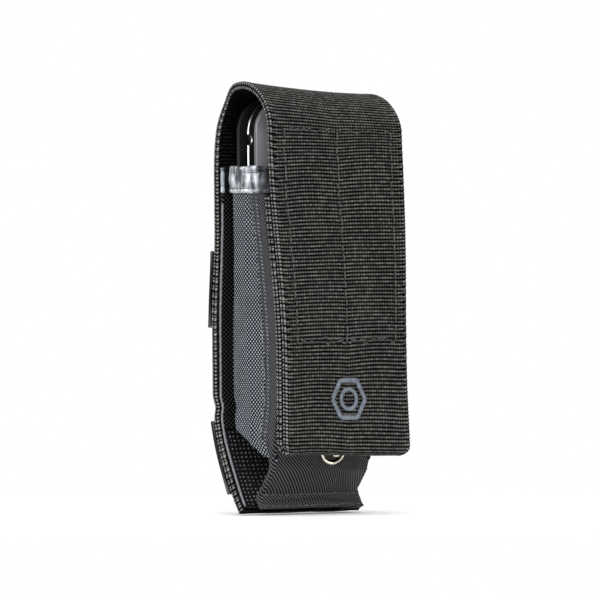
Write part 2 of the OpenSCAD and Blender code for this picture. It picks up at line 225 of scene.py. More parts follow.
class Path:
    """A smooth line in the side view, in (depth, height), looked up by the distance along it."""

    def __init__(self, points):
        self.points = np.array(points, float)
        self.s = run_lengths(self.points)
        self.length = self.s[-1]

    def at(self, s):
        return [np.interp(s, self.s, self.points[:, k]) for k in (0, 1)]

    def inward(self, s, reach=0.5):
        """Unit vector across the line, towards the right of its heading."""
        d0, z0 = self.at(s - reach)
        d1, z1 = self.at(s + reach)
        size = np.hypot(d1 - d0, z1 - z0)
        return (z1 - z0) / size, -(d1 - d0) / size

    def place(self, s, x, n):
        d, z = self.at(s)
        nd, nz = self.inward(s)
        return x, d + n * nd, z + n * nz

    def nearest(self, d, z):
        return self.s[np.argmin(np.hypot(self.points[:, 0] - d, self.points[:, 1] - z))]


# --- Random numbers and noise ---

def lattice(seed, i, j):
    """A repeatable random number from 0 to 1 for each pair of whole numbers."""
    h = np.sin(i * 127.1 + j * 311.7 + seed * 74.7) * 43758.5453
    return h - np.floor(h)


def noise(seed, u, v):
    """Smooth noise from -1 to 1, with one bump to each unit of u and v."""
    u, v = np.broadcast_arrays(u, v)
    i, j = np.floor(u), np.floor(v)
    fu, fv = smooth(u - i), smooth(v - j)
    low_row = lattice(seed, i, j) * (1 - fu) + lattice(seed, i + 1, j) * fu
    high_row = lattice(seed, i, j + 1) * (1 - fu) + lattice(seed, i + 1, j + 1) * fu
    return 2 * (low_row * (1 - fv) + high_row * fv) - 1


# --- Meshes ---

def add_object(name, data):
    obj = bpy.data.objects.new(name, data)
    bpy.context.scene.collection.objects.link(obj)
    return obj


def make_object(name, points, faces, attributes=(), flat=()):
    """An object from points in metres. Attributes are (name, values) with one value a point."""
    mesh = bpy.data.meshes.new(name)
    mesh.from_pydata(points.reshape(-1, 3).tolist(), [], faces)
    mesh.shade_smooth()
    for index in flat:
        mesh.polygons[index].use_smooth = False
    for label, values in attributes:
        values = np.asarray(values, np.float32)
        if values.shape[-1] == 3 and values.ndim > 1 and values.size == 3 * len(mesh.vertices):
            kind, key = "FLOAT_VECTOR", "vector"
        else:
            kind, key = "FLOAT", "value"
        mesh.attributes.new(label, kind, "POINT").data.foreach_set(key, values.ravel())
    return add_object(name, mesh)


def grid_faces(rows, cols, closed, start=0, flip=False):
    """Quads between the rows of a grid of points, whose rows are loops if closed is true."""
    count = cols if closed else cols - 1
    i, j = np.meshgrid(np.arange(rows - 1), np.arange(count), indexing="ij")
    k = (j + 1) % cols
    quads = np.stack([i * cols + j, i * cols + k, (i + 1) * cols + k, (i + 1) * cols + j], -1)
    quads = quads.reshape(-1, 4) + start
    return (quads[:, ::-1] if flip else quads).tolist()


def tube_mesh(name, grid, attributes=()):
    """A closed solid from rows of points that are loops, with a fan over each end."""
    rows, cols = grid.shape[:2]
    middles = np.stack([grid[0].mean(0), grid[-1].mean(0)])
    points = np.concatenate([grid.reshape(-1, 3), middles])
    faces = grid_faces(rows, cols, True, flip=True)
    start, end, last = rows * cols, rows * cols + 1, (rows - 1) * cols
    flat = range(len(faces), len(faces) + 2 * cols)
    for j in range(cols):
        k = (j + 1) % cols
        faces.append([start, j, k])
        faces.append([end, last + k, last + j])
    padded = []
    for label, values in attributes:
        ends = np.stack([values[0].mean(0), values[-1].mean(0)])
        padded.append((label, np.concatenate([values.reshape((-1,) + values.shape[2:]), ends])))
    return make_object(name, points, faces, padded, flat)


def tubes(name, grids, label, values):
    """One object from several closed tubes, with a flat face over each end."""
    faces, start = [], 0
    for grid in grids:
        rows, cols = grid.shape[:2]
        last = start + (rows - 1) * cols
        faces += grid_faces(rows, cols, True, start=start)
        faces.append(list(range(start + cols - 1, start - 1, -1)))
        faces.append(list(range(last, last + cols)))
        start += rows * cols
    points = np.concatenate([grid.reshape(-1, 3) for grid in grids])
    return make_object(name, points, faces, [(label, np.concatenate(values))])


def sheet_mesh(name, outer, inner, weave, shade=None):
    """A closed sheet between two grids of points, with weave as its cloth coordinates in mm."""
    rows, cols = outer.shape[:2]
    total = rows * cols
    points = np.concatenate([outer.reshape(-1, 3), inner.reshape(-1, 3)])
    faces = grid_faces(rows, cols, False)
    faces += grid_faces(rows, cols, False, start=total, flip=True)
    rim = list(range(cols)) + [i * cols + cols - 1 for i in range(1, rows)]
    rim += [(rows - 1) * cols + j for j in range(cols - 2, -1, -1)]
    rim += [i * cols for i in range(rows - 2, 0, -1)]
    for a, b in zip(rim, rim[1:] + rim[:1]):
        faces.append([b, a, a + total, b + total])
    # Shade is painted shade, kept as the rise; 1 everywhere when none is given.
    shades = np.ones(total) if shade is None else shade.ravel()
    labels = [("weave", np.tile(weave.reshape(-1, 3), (2, 1))), ("rise", np.tile(shades, 2))]
    return make_object(name, points, faces, labels)


# --- Webbing ---

def webbing_ring(width, thick, fine):
    """The cross-section of a strip of webbing as columns: across, through, outward
    direction, number of the yarn and place in it, for the outer face, an edge, the inner
    face and the other edge. Fine is the number of columns to each yarn of the outer face."""
    half, core = width / 2, thick / 2 - RELIEF
    yarns = round((width - 2 * EDGE) / BEAD)
    turns = 8
    columns = []
    for side, per in ((-1, fine), (1, 1)):
        for k in range(yarns * per + 1):
            x = (-half + EDGE + (width - 2 * EDGE) * k / (yarns * per)) * -side
            columns.append((x, side * core, 0, side, k // per, k / per % 1))
        for k in range(1, turns):
            a = math.pi * k / turns
            reach = (EDGE - RELIEF) * math.sin(a) ** 0.35
            columns.append((
                (half - EDGE + reach) * -side, side * core * math.cos(a),
                math.sin(a) * -side, side * 0.7 * math.cos(a), yarns + 1 + k // (turns / 2),
                2 * k / turns % 1,
            ))
    return np.array(columns).T


def webbing(name, s0, s1, width, thick, place, fine=3, dent=None, seed=1, narrow=None, cut=None):
    """A strip of ribbed webbing from distance s0 to s1 along place(s, x, n). Dent(s, x) is how
    deep sewing pulls its outer face in, and narrow(s) is half its width where that changes.
    Cut is how pale the yarns' ends are on its end faces, or None where the weave runs on."""
    rows = max(2, round((s1 - s0) / RIB * ROWS_PER_RIB)) + 1
    s = np.linspace(s0, s1, rows)[:, None]
    x, n, out_x, out_n, yarn, part = webbing_ring(width, thick, fine)[:, None, :]
    near_edge = smooth((np.abs(x) - width / 2 + 3.2) / 2.6)
    arching = 0.3 * np.clip(1 - ((np.abs(x) - 10.8) / 10.8) ** 2, 0, 1) * (width > 40)
    drift = 0.22 * noise(seed, x / 13 + 7, s / 9)
    pairing = 0.24 * (0.55 + 0.45 * np.sin(s / 9)) * np.sin(np.pi * s / RIB) * near_edge
    hooks = np.abs(out_x) > 0.3
    slant = hooks * (0.55 * out_x * n + 0.5 * RIB * (n > 0))
    groove = 0.85 * hump(n, 0, 0.28) * np.abs(out_x) ** 3
    phase = (s + arching + drift + pairing * RIB + slant) / RIB
    ends = np.minimum(np.abs(s - s0), np.abs(s - s1))
    rib = np.floor(phase)
    bump = np.clip(np.cos(np.pi * (phase - rib - 0.5) / 0.76), 0, None) ** 0.6
    plump = 0.82 + 0.18 * lattice(seed + 1, rib, 0 * rib)
    bead = 1 - 0.42 * np.abs(2 * part - 1) ** 3
    random = lattice(seed, rib, yarn + 50 * (out_n > 0))
    # Rise is the yarns' height, from which the material also paints shade between the ribs.
    rise = bump * bead * (0.85 + 0.15 * random) * (1 - groove)
    height = RELIEF * (rise * plump - 0.9 * groove)
    if dent is not None:
        height = height - dent(s, x) * (out_n < -0.5)
    if cut is not None:
        frayed = cut * (0.15 + 0.85 * lattice(seed + 2, np.round(x * 3), np.round(n * 3)))
        height = height * (ends > 1e-6)
        rise = np.where(ends > 1e-6, rise, frayed)
    squeeze = 1 if narrow is None else narrow(s) / (width / 2)
    across = (x + out_x * height) * squeeze
    through = n * (1 + 0.12 * near_edge) + out_n * height
    grid = world(*place(s + 0 * x, across, through))
    # Random tone of the yarns, plus painted highlight on the edge loops and the beads near the edges; the
    # outer row of loops gets most, as it faces away from the lamps.
    tint = 0.25 + 0.5 * random + 0.3 * near_edge * bump + (0.75 + 0.35 * (n < 0)) * hooks
    # Painted shade: the inner face is darkened, all but its edge loops.
    tint = np.where((out_n > 0.5) & ~hooks, tint - 0.7, tint)
    return tube_mesh(name, grid, [("rise", rise), ("tint", tint), ("weave", coordinates(x, s, n))])


# --- Threads ---

def threads(name, strokes, radius, sides=6, lay_length=0.9):
    """Short twisted threads, each along its own row of points in metres. One turn of the
    twist takes the lay length."""
    grids, tints = [], []
    for number, stroke in enumerate(strokes):
        stroke = np.asarray(stroke, float)
        count = len(stroke)
        heading = np.gradient(stroke, axis=0)
        heading /= np.linalg.norm(heading, axis=1)[:, None]
        guide = np.array([0.31, 0.52, 0.79])
        side = np.cross(heading, guide)
        side /= np.linalg.norm(side, axis=1)[:, None]
        other = np.cross(heading, side)
        gone = run_lengths(stroke)
        angle = np.arange(sides) * 2 * np.pi / sides
        lay = gone[:, None] / (lay_length * MM) * 2 * np.pi
        taper = np.ones(count)
        taper[0] = taper[-1] = 0.45
        r = radius * MM * (0.9 + 0.14 * np.cos(2 * angle[None, :] - lay)) * taper[:, None]
        grids.append(
            stroke[:, None, :]
            + side[:, None, :] * (r * np.cos(angle))[..., None]
            + other[:, None, :] * (r * np.sin(angle))[..., None]
        )
        tints.append(np.full(count * sides, lattice(5, number, 1)))
    return tubes(name, grids, "tint", tints)


def seam(surface, ends, length=2.6, gap=0.5, lift=0.2, wander=0.2, seed=3):
    """Strokes of a row of stitches between two ends (a0, b0), (a1, b1) on
    surface(a, b, lift). Each stitch rises to lift and strays sideways by up to wander."""
    (a0, b0), (a1, b1) = ends
    total = math.hypot(a1 - a0, b1 - b0)
    count = max(1, round(total / length))
    strokes = []
    for k in range(count):
        t = np.linspace(k, k + 1 - gap / length, 7) / count
        bulge = np.sin(np.pi * np.linspace(0, 1, 7))
        drift = wander * (2 * lattice(seed, k, 2) - 1)
        a = a0 + (a1 - a0) * t + drift * (b1 - b0) / total * bulge
        b = b0 + (b1 - b0) * t - drift * (a1 - a0) / total * bulge
        strokes.append(surface(a, b, lift * (bulge * 1.6 - 0.6)))
    return strokes


# --- Materials ---

class Shader:
    """A material's node tree, with short calls for the nodes that the finishes share."""

    def __init__(self, name):
        self.material = bpy.data.materials.new(name)
        self.material.use_nodes = True
        self.tree = self.material.node_tree
        self.surface = self.tree.nodes["Principled BSDF"]

    def add(self, kind, settings=(), **inputs):
        node = self.tree.nodes.new("ShaderNode" + kind)
        for key, value in dict(settings).items():
            setattr(node, key, value)
        for key, value in inputs.items():
            self.feed(node.inputs[key.replace("_", " ")], value)
        return node

    def feed(self, socket, value):
        if isinstance(value, bpy.types.NodeSocket):
            self.tree.links.new(value, socket)
        else:
            socket.default_value = value

    def calc(self, operation, a, b=0.0):
        node = self.add("Math", {"operation": operation})
        self.feed(node.inputs[0], a)
        self.feed(node.inputs[1], b)
        return node.outputs[0]

    def times(self, a, b):
        return self.calc("MULTIPLY", a, b)

    def attribute(self, name, output="Fac"):
        return self.add("Attribute", {"attribute_name": name}).outputs[output]

    def ramp(self, value, stops):
        node = self.add("ValToRGB", Fac=value)
        elements = node.color_ramp.elements
        while len(elements) < len(stops):
            elements.new(0.5)
        for element, (place, colour) in zip(elements, stops):
            element.position = place
            element.color = (*colour, 1)
        return node.outputs["Color"]

    def noise(self, vector, scale, detail=3.0, stretch=(1, 1, 1), roughness=0.55):
        mapping = self.add("Mapping", Vector=vector, Scale=stretch)
        node = self.add(
            "TexNoise", Vector=mapping.outputs[0], Scale=scale, Detail=detail,
            Roughness=roughness,
        )
        return node.outputs["Fac"]

    def mix(self, kind, share, a, b):
        node = self.add("Mix", {"data_type": "RGBA", "blend_type": kind})
        self.feed(node.inputs["Factor"], share)
        self.feed(node.inputs[6], a)
        self.feed(node.inputs[7], b)
        return node.outputs[2]

    def tinted(self, colour, tint):
        return self.mix("MULTIPLY", 1.0, colour, tint)

    def scale_range(self, value, low_out, high_out):
        return self.add("MapRange", Value=value, To_Min=low_out, To_Max=high_out).outputs[0]

    def bump(self, height, depth_mm, strength=1.0):
        node = self.add("Bump", Height=height, Strength=strength, Distance=depth_mm * MM)
        self.feed(self.surface.inputs["Normal"], node.outputs[0])

    def finish(self, **inputs):
        for key, value in inputs.items():
            if isinstance(value, tuple) and len(value) == 3 and key != "Normal":
                value = (*value, 1)
            self.feed(self.surface.inputs[key.replace("_", " ")], value)
        return self.material


def object_mm(shader):
    """Object coordinates in millimetres."""
    place = shader.add("TexCoord").outputs["Object"]
    scaled = shader.add("VectorMath", {"operation": "SCALE"}, Vector=place, Scale=1 / MM)
    return scaled.outputs[0]


def webbing_material(name, gap, top, pale):
    """Ribbed webbing: charcoal on the yarns, black between the ribs as painted shade, and
    paler on raised loops as a painted highlight.
    """
    m = Shader(name)
    weave = m.attribute("weave", "Vector")
    fibres = m.noise(weave, 7.0, 2.0, (2.2, 0.7, 1))
    patches = m.noise(weave, 0.09, 2.0)
    # The rise is the yarns' height; the ramp paints shade with it, black in the gaps between the ribs.
    colour = m.ramp(m.attribute("rise"), [(0.0, gap), (0.42, gap), (0.92, top)])
    tint = m.add(
        "MapRange", {"clamp": True}, Value=m.attribute("tint"), From_Min=-0.5,
        To_Min=0.2, To_Max=1.7,
    ).outputs[0]
    tint = m.times(tint, m.scale_range(fibres, 0.55, 1.45))
    tint = m.times(tint, m.scale_range(patches, 0.86, 1.14))
    colour = m.tinted(colour, tint)
    # Glint turns raised yarns and loops towards the pale colour: a painted highlight.
    glint = m.times(m.attribute("rise"), m.attribute("tint"))
    colour = m.mix("MIX", m.scale_range(glint, -0.16, 0.2), colour, (*pale, 1))
    m.bump(fibres, 0.05, 0.7)
    # Specular follows the rise too, so the gaps reflect less, as if in shade.
    return m.finish(
        Base_Color=colour, Roughness=m.scale_range(fibres, 0.55, 0.75),
        Specular_IOR_Level=m.times(m.attribute("rise"), 0.22),
    )


def cloth_material(name, dark, light, dots, slope=1.0, pitch=1.08):
    """Cloth with slanting rows of bright yarns, broken into dots by the share given."""
    m = Shader(name)
    weave = m.attribute("weave", "Vector")
    u, v, _ = m.add("SeparateXYZ", Vector=weave).outputs
    row = m.calc("DIVIDE", m.calc("ADD", u, m.times(v, slope)), pitch)
    yarn = m.calc("DIVIDE", m.calc("SUBTRACT", m.times(u, slope), v), pitch)
    turn = 2 * math.pi
    ridge = m.calc("ADD", m.times(m.calc("SINE", m.times(row, turn)), 0.5), 0.5)
    dash = m.times(m.calc("SINE", m.times(yarn, turn)), dots / 2)
    height = m.times(ridge, m.calc("ADD", dash, 1 - dots / 2))
    fuzz = m.noise(weave, 2.2, 3.0)
    patches = m.noise(weave, 0.12, 3.0)
    shade = m.times(height, m.scale_range(fuzz, 0.5, 1.5))
    colour = m.ramp(shade, [(0.1, dark), (0.75, light)])
    colour = m.tinted(colour, m.scale_range(patches, 0.75, 1.25))
    # Painted shade: darker where the rise is low, as in the side walls' fold by the back.
    colour = m.tinted(colour, m.attribute("rise"))
    m.bump(height, 0.16, 0.8)
    return m.finish(
        Base_Color=colour, Roughness=m.scale_range(fuzz, 0.45, 0.65),
        Specular_IOR_Level=m.times(height, 0.3),
    )


def lining_material(name, ground, dot, pitch=1.5):
    """Coated black cloth with rows of small pale dots where the yarns cross."""
    m = Shader(name)
    weave = m.attribute("weave", "Vector")
    cells = m.add("TexVoronoi", Vector=weave, Scale=1 / pitch, Randomness=0.12)
    spot = m.ramp(cells.outputs["Distance"], [(0.12, (1, 1, 1)), (0.26, (0, 0, 0))])
    fuzz = m.noise(weave, 1.2, 3.0)
    spot = m.times(spot, m.ramp(fuzz, [(0.35, (0, 0, 0)), (0.65, (1, 1, 1))]))
    colour = m.mix("MIX", spot, (*ground, 1), (*dot, 1))
    m.bump(spot, 0.1, 0.6)
    gloss = m.scale_range(fuzz, 0.5, 0.7)
    return m.finish(Base_Color=colour, Roughness=gloss, Specular_IOR_Level=0.1)


def vinyl_material(name):
    """Glossy crinkled vinyl, with painted reflection in the light patches of its colour and
    painted shade where its rise is low.
    """
    m = Shader(name)
    weave = m.attribute("weave", "Vector")
    crinkle = m.noise(weave, 0.3, 3.0, (1, 0.35, 1), 0.5)
    fine = m.noise(weave, 1.6, 4.0, (1, 0.7, 1))
    # The crinkle ramp's light patches are painted reflection, laid over the vinyl's real gloss.
    colour = m.ramp(crinkle, [(0.38, (0.03, 0.034, 0.042)), (0.54, (0.46, 0.48, 0.5))])
    colour = m.tinted(colour, m.scale_range(fine, 0.72, 1.22))
    # Painted shade: nearly black where the rise is low.
    colour = m.mix("MIX", m.attribute("rise"), (0.006, 0.0065, 0.009, 1), colour)
    m.bump(m.calc("ADD", crinkle, m.times(fine, 0.2)), 0.8, 0.9)
    # Coat and specular follow the rise too, so the shaded stretches reflect less.
    return m.finish(
        Base_Color=colour, Metallic=0.35, Roughness=m.scale_range(fine, 0.2, 0.4),
        Coat_Weight=m.times(m.attribute("rise"), 0.6), Coat_Roughness=0.15,
        Specular_IOR_Level=m.times(m.attribute("rise"), 0.5),
    )


def thread_material(name, colour, rough=0.5):
    m = Shader(name)
    place = object_mm(m)
    fibres = m.noise(place, 5.0, 3.0)
    tint = m.times(m.scale_range(m.attribute("tint"), 0.7, 1.35), m.scale_range(fibres, 0.75, 1.25))
    shaded = m.tinted((*colour, 1), tint)
    m.bump(fibres, 0.04, 0.7)
    return m.finish(
        Base_Color=shaded, Roughness=m.scale_range(fibres, rough - 0.1, rough + 0.15),
        Specular_IOR_Level=0.3,
    )


def metal_material(
    name, colour, rough, metallic=1.0, grain=(1, 1, 1), grain_scale=3.0, spread=0.15, dark="",
):
    """Metal with a fine grain stretched along one direction, and faint handling marks. Dark
    is "recess" for painted shade where its rise is low, "edges" for painted shade on the
    faces that do not face forward or back, or "faces" for painted shade on those that do,
    which leaves the edges bright."""
    m = Shader(name)
    place = object_mm(m)
    lines = m.noise(place, grain_scale, 4.0, grain)
    marks = m.noise(place, 0.22, 4.0)
    scratches = m.ramp(
        m.noise(place, 0.5, 6.0, (1, 1, 9), 0.7), [(0.62, (0, 0, 0)), (0.72, (1, 1, 1))]
    )
    tint = m.times(m.scale_range(lines, 1 - spread, 1 + spread), m.scale_range(marks, 0.85, 1.15))
    shaded = m.tinted((*colour, 1), tint)
    shaded = m.mix("MIX", m.times(scratches, 0.18), shaded, (0.7, 0.7, 0.7, 1))
    # Painted shade: darkened where the rise is low.
    if dark == "painted_recess_shade":
        shaded = m.tinted(shaded, m.scale_range(m.attribute("rise"), 0.03, 1))
    # Painted shade by facing: "edges" darkens the faces that do not face forward or back, "faces" darkens
    # those that do, so the edges stand out bright.
    if dark in ("edges", "faces"):
        facing = m.add("TexCoord").outputs["Normal"]
        forward = m.calc("ABSOLUTE", m.add("SeparateXYZ", Vector=facing).outputs[1])
        share = forward if dark == "edges" else m.calc("SUBTRACT", 1.0, forward)
        shaded = m.tinted(shaded, m.calc("MAXIMUM", share, 0.12))
    gloss = m.calc("ADD", m.scale_range(lines, rough * 0.8, rough * 1.25),
                   m.scale_range(marks, -0.05, 0.07))
    m.bump(lines, 0.012, 0.5)
    return m.finish(Base_Color=shaded, Metallic=metallic, Roughness=gloss)


# The webbing's gap colour is painted shade between the ribs, and its pale colour a painted highlight.
WEBBING = webbing_material("webbing", (0.0018, 0.0018, 0.0017), (0.094, 0.092, 0.084), (0.42, 0.415, 0.39))
CLOTH = cloth_material("nylon_cloth", (0.002, 0.0022, 0.003), (0.27, 0.29, 0.315), 1.0, 1.0, 1.4)
PANEL_CLOTH = cloth_material("panel_cloth", (0.002, 0.002, 0.0022), (0.078, 0.079, 0.082), 0.5)
LINING = lining_material("lining", (0.006, 0.006, 0.007), (0.32, 0.33, 0.34))
VINYL = vinyl_material("vinyl")
THREAD = thread_material("thread", (0.075, 0.073, 0.069))
PALE_THREAD = thread_material("pale_thread", (0.14, 0.145, 0.15))
BADGE_THREAD = thread_material("badge_thread", (0.155, 0.178, 0.212), 0.4)
NICKEL = metal_material("nickel", (0.6, 0.56, 0.48), 0.2, spread=0.05)
# The studs' nickel paints shade in the hollow round the post, where the rise is low.
STUD_NICKEL = metal_material("stud_nickel", (0.8, 0.75, 0.64), 0.2, spread=0.05, dark="painted_recess_shade")
BLACKENED = metal_material("blackened_metal", (0.05, 0.05, 0.055), 0.38, 0.75)
# Tool steel paints shade on the plates' sides, the faces that do not face forward or back.
TOOL_STEEL = metal_material("tool_steel", (0.54, 0.54, 0.55), 0.42, 0.35, grain_scale=6.0, dark="edges")
# Steel painted near black: shade on the rear plates, which share the tool steel's slot, and a dark finish
# on the jaws.
SHADED_DARK_STEEL = metal_material("shaded_dark_steel", (0.009, 0.009, 0.0095), 0.6, 0.4, grain_scale=6.0)
BRIGHT_STEEL = metal_material("bright_steel", (0.74, 0.74, 0.73), 0.24, grain=(1, 1, 14))
# Liner steel paints shade on its front and back faces, so only its edges show bright.
LINER_STEEL = metal_material("liner_steel", (0.55, 0.55, 0.54), 0.28, grain=(1, 1, 14), dark="faces")
BLADE_STEEL = metal_material("blade_steel", (0.3, 0.3, 0.3), 0.3, grain=(0.6, 1, 16))


def give(obj, material):
    if obj.data.materials:
        for slot in obj.material_slots:
            slot.link = "OBJECT"
            slot.material = material
    else:
        obj.data.materials.append(material)


def fit(obj, material, slot, body, *nodes):
    """Gives a piece its finish, the body it rides on and the nodes it stands for."""
    give(obj, material)
    if body:
        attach(obj, body)
    if nodes:
        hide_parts(*nodes)
    return obj


# --- The main strap: up the back, over the arch, down the front and folded back inside ---

def strap_points():
    up = [(back_d(z), z) for z in np.linspace(0, HEM_CURVE_Z, 60)]
    up += [(0, z) for z in np.linspace(HEM_CURVE_Z + 1, SPRING_Z - 1, 60)]
    r = ARCH_D / 2
    over = [(r * (1 - math.cos(a)), SPRING_Z + r * math.sin(a)) for a in np.linspace(0, math.pi, 80)]
    down = [(front_d(z), z) for z in np.linspace(SPRING_Z - 1, FOLD_Z + 0.5, 140)]
    centre = FLAP_D - FOLD_R
    fold = [(centre + FOLD_R * math.cos(a), FOLD_Z - FOLD_R * math.sin(a))
            for a in np.linspace(0, math.pi, 40)]
    inside = [(front_d(z) - 2 * FOLD_R, z) for z in np.linspace(FOLD_Z + 0.5, RETURN_TOP_Z, 120)]
    return up + over + down + fold + inside


STRAP = Path(strap_points())
ARCH_START = RIB * round(STRAP.nearest(0, 113) / RIB)
ARCH_TOP = RIB * round(STRAP.nearest(ARCH_D / 2, TOP_Z) / RIB)
ARCH_END = RIB * round(STRAP.nearest(front_d(119.0), 119) / RIB)
FRONT_END = RIB * round(STRAP.nearest(FLAP_D, FOLD_Z + 0.5) / RIB)
RETURN_END = RIB * math.floor(STRAP.length / RIB)


def place_strap(s, x, n):
    """A point of the main strap; n runs from the middle of its thickness inwards. The arch's
    left rear corner is a shoulder that stands forward, and its rear half sags less."""
    x, d, z = STRAP.place(s, x, n + WEB_T / 2)
    x = np.where(s < ARCH_START, back_pulled_in(x, z), x)
    behind = s < ARCH_START
    shoulder = 3.3 * hump(z, 134, 11) * smooth((13 - d) / 11) * smooth((-x - 14) / 9)
    moved = np.where(behind, bow(x, z), twist(x, z) * smooth((d - 2) / 24) + shoulder)
    sag_share = 0.4 + 0.6 * smooth((d - 5) / 7)
    lowered = np.where(behind, 0, sag(x, z) * sag_share + droop(x, z))
    return x, d + moved, z - lowered


def narrow_strap(s):
    """Half the width of the strap, rounded off at the flap's lower corners."""
    z = STRAP.at(s)[1]
    height = np.clip((z - FLAP_END_Z) / 4.2, 0, 1)
    rounding = 2.6 * (1 - np.sqrt(1 - (1 - height) ** 2))
    return WEB_W / 2 - rounding * (s > ARCH_END)


def flap_dent(s, x):
    """How deep the sewing pulls the flap's face in."""
    z = STRAP.at(s)[1]
    on_front = (s > ARCH_START + 25) & (s < FRONT_END)
    between = (z > STITCH_LOW_Z - 0.5) & (z < STITCH_TOP_Z + 0.5) & on_front
    dent = 0 * x + 0 * s
    for line in STITCH_X:
        dent = dent + 0.3 * hump(x, line, 0.5) * between
    for line in (STITCH_TOP_Z, STITCH_LOW_Z):
        wave = line + 0.35 * noise(8, x / 4, 0)
        dent = dent + 0.4 * hump(z, wave, 0.9) * on_front
    return dent


def main_strap():
    spans = [
        ("back_strap", 0, ARCH_START, 3, "sheath", ["back_webbing"]),
        ("arch_strap", ARCH_START, ARCH_TOP, 4, None, []),
        ("arch_front", ARCH_TOP, ARCH_END, 4, "flap", []),
        ("flap_front", ARCH_END, FRONT_END, 4, "flap", ["flap_webbing"]),
        ("flap_return", FRONT_END, RETURN_END, 3, "flap", []),
    ]
    for name, s0, s1, fine, body, nodes in spans:
        piece = webbing(name, s0, s1, WEB_W, WEB_T, place_strap, fine, flap_dent, 1, narrow_strap)
        fit(piece, WEBBING, "webbing", body, *nodes)
        if body is None:
            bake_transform(piece)


# --- Cross bars and belt strap ---

BACK_LINE = Path([(back_d(z), z) for z in np.linspace(0, 120, 400)])


def cross_bar(name, low_z, node, seed):
    """Webbing laid across the back, so that its ribs run up and down."""
    centre = BACK_LINE.nearest(back_d(low_z), low_z) + BAR_H / 2

    def place(s, x, n):
        _, d, z = BACK_LINE.place(centre + x, 0, n - BAR_T / 2 - 0.05)
        across = s - WEB_W / 2 + 0.3
        return across, d + bow(across, z), z

    piece = webbing(name, 0, WEB_W - 0.6, BAR_H, BAR_T, place, seed=seed, cut=0.7)
    fit(piece, WEBBING, "webbing", "sheath", node)


def belt_points():
    """Middle of the belt strap, from its sewn end down to its tab."""
    tunnel_d = STRAP_FAR_D + BAR_T / 2
    tab_d = -(1.0 + BAR_T / 2)
    knots = [
        (-BAR_T / 2, STRAP_TOP_Z), (-BAR_T / 2, 97), (tunnel_d + 1.2, 92), (tunnel_d, 88),
        (tunnel_d, 60), (tunnel_d + 1.2, 56), (tab_d - 0.6, 52), (tab_d, 49), (tab_d, STRAP_END_Z),
    ]
    return rounded(knots, 3.0)


def rounded(knots, reach):
    """The line through knots, with each corner taken off as a curve."""
    knots = [np.array(k, float) for k in knots]
    points = [knots[0]]
    for a, b, c in zip(knots, knots[1:], knots[2:]):
        before = b + (a - b) * min(0.5, reach / np.linalg.norm(a - b))
        after = b + (c - b) * min(0.5, reach / np.linalg.norm(c - b))
        for t in np.linspace(0, 1, 9):
            points.append((1 - t) ** 2 * before + 2 * t * (1 - t) * b + t ** 2 * after)
    points.append(knots[-1])
    return points


def belt_strap():
    line = Path(belt_points())
    length = RIB * math.floor(line.length / RIB)

    def place(s, x, n):
        return line.place(s, x, -n)

    piece = webbing("belt_webbing", 0, length, STRAP_W, BAR_T, place, seed=6, cut=0.7)
    fit(piece, WEBBING, "webbing", None, "belt_strap", "strap_anchor")
    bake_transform(piece)


# --- Pouch ---

# Half the width of the front panel, how far it wraps round on to the sides, and the
# heights of the two seams in the mouth's binding
PANEL_HALF = 24.1
RETURN_REACH = 5.6
BAND_SEAMS_Z = (105.3, 110.6)


def panel_half(z):
    """Half the width of the front panel, pinched in at its toe."""
    return PANEL_HALF - 2.6 * smooth((27 - z) / 13)


def panel_face(x, z):
    """Depth of the front panel's outer face."""
    share = np.clip(np.abs(x) / panel_half(z), 0, 1)
    pinch = 3.0 * smooth((27 - z) / 12)
    hem = -0.7 * smooth((9 - z) / 4)
    wave = 0.25 * noise(21, x / 9, z / 7) * smooth((30 - z) / 10)
    seam_z = HEM_SEAM_Z + 0.45 * noise(22, x / 11, 0)
    wave = wave + 0.3 * hump(z, seam_z + 1.5, 0.7) - 0.7 * hump(z, seam_z, 0.4)
    turned = (twist(x, z) - twist(0, z)) * (z > TOE_Z)
    face = panel_d(z) + hem + wave - pinch * share ** 3 + turned
    floor = back_d(z) + (WEB_T + LINING_T + 2.2) * 1.2
    return np.maximum(face, np.where(z < 12, floor, face))


def pulled_in(x, z):
    """The pouch's lower right corner, drawn in towards the middle just above the hem."""
    reach = 3.8 * smooth((32 - z) / 14) * (1 - 0.6 * smooth((8 - z) / 6))
    return x - reach * smooth(x / 20)


def back_pulled_in(x, z):
    return x - 1.9 * smooth((16 - z) / 12) * smooth(x / 25)


def return_depth(z):
    """How far the front panel wraps round on to the side."""
    return 0.5 + (RETURN_REACH - 0.5) * smooth((z - 17) / 5)


def front_panel():
    rows, cols = ((300, 150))
    z = np.linspace(HEM_LOW_Z, BAND_LOW_Z + 0.6, rows)[:, None]
    w = np.linspace(-1, 1, cols)[None, :]
    corner = 0.84
    flat = np.clip(np.abs(w) / corner, 0, 1)
    turned = np.clip((np.abs(w) - corner) / (1 - corner), 0, 1)
    sign = np.sign(w)
    half = panel_half(z)
    radius = 1.3
    x_front = sign * (half - radius) * flat
    angle = np.clip(turned / 0.3, 0, 1) * math.pi / 2
    x = x_front + sign * radius * np.sin(angle)
    past_corner = np.clip((turned - 0.3) / 0.7, 0, 1)
    back = radius * (1 - np.cos(angle)) + return_depth(z) * past_corner
    d = panel_face(x_front, z) - back
    x = x + sign * 0.25 * past_corner * smooth((z - 20) / 6)
    x = pulled_in(x, z)
    nx, nd = sign * np.sin(angle), np.cos(angle)
    outer = world(x, d, z)
    inner = world(x - nx * CLOTH_T, d - nd * CLOTH_T, z)
    across = x_front + sign * back
    piece = sheet_mesh("front_panel_cloth", outer, inner, coordinates(across, z, 0))
    fit(piece, PANEL_CLOTH, "nylon_cloth", "sheath", "front_panel")


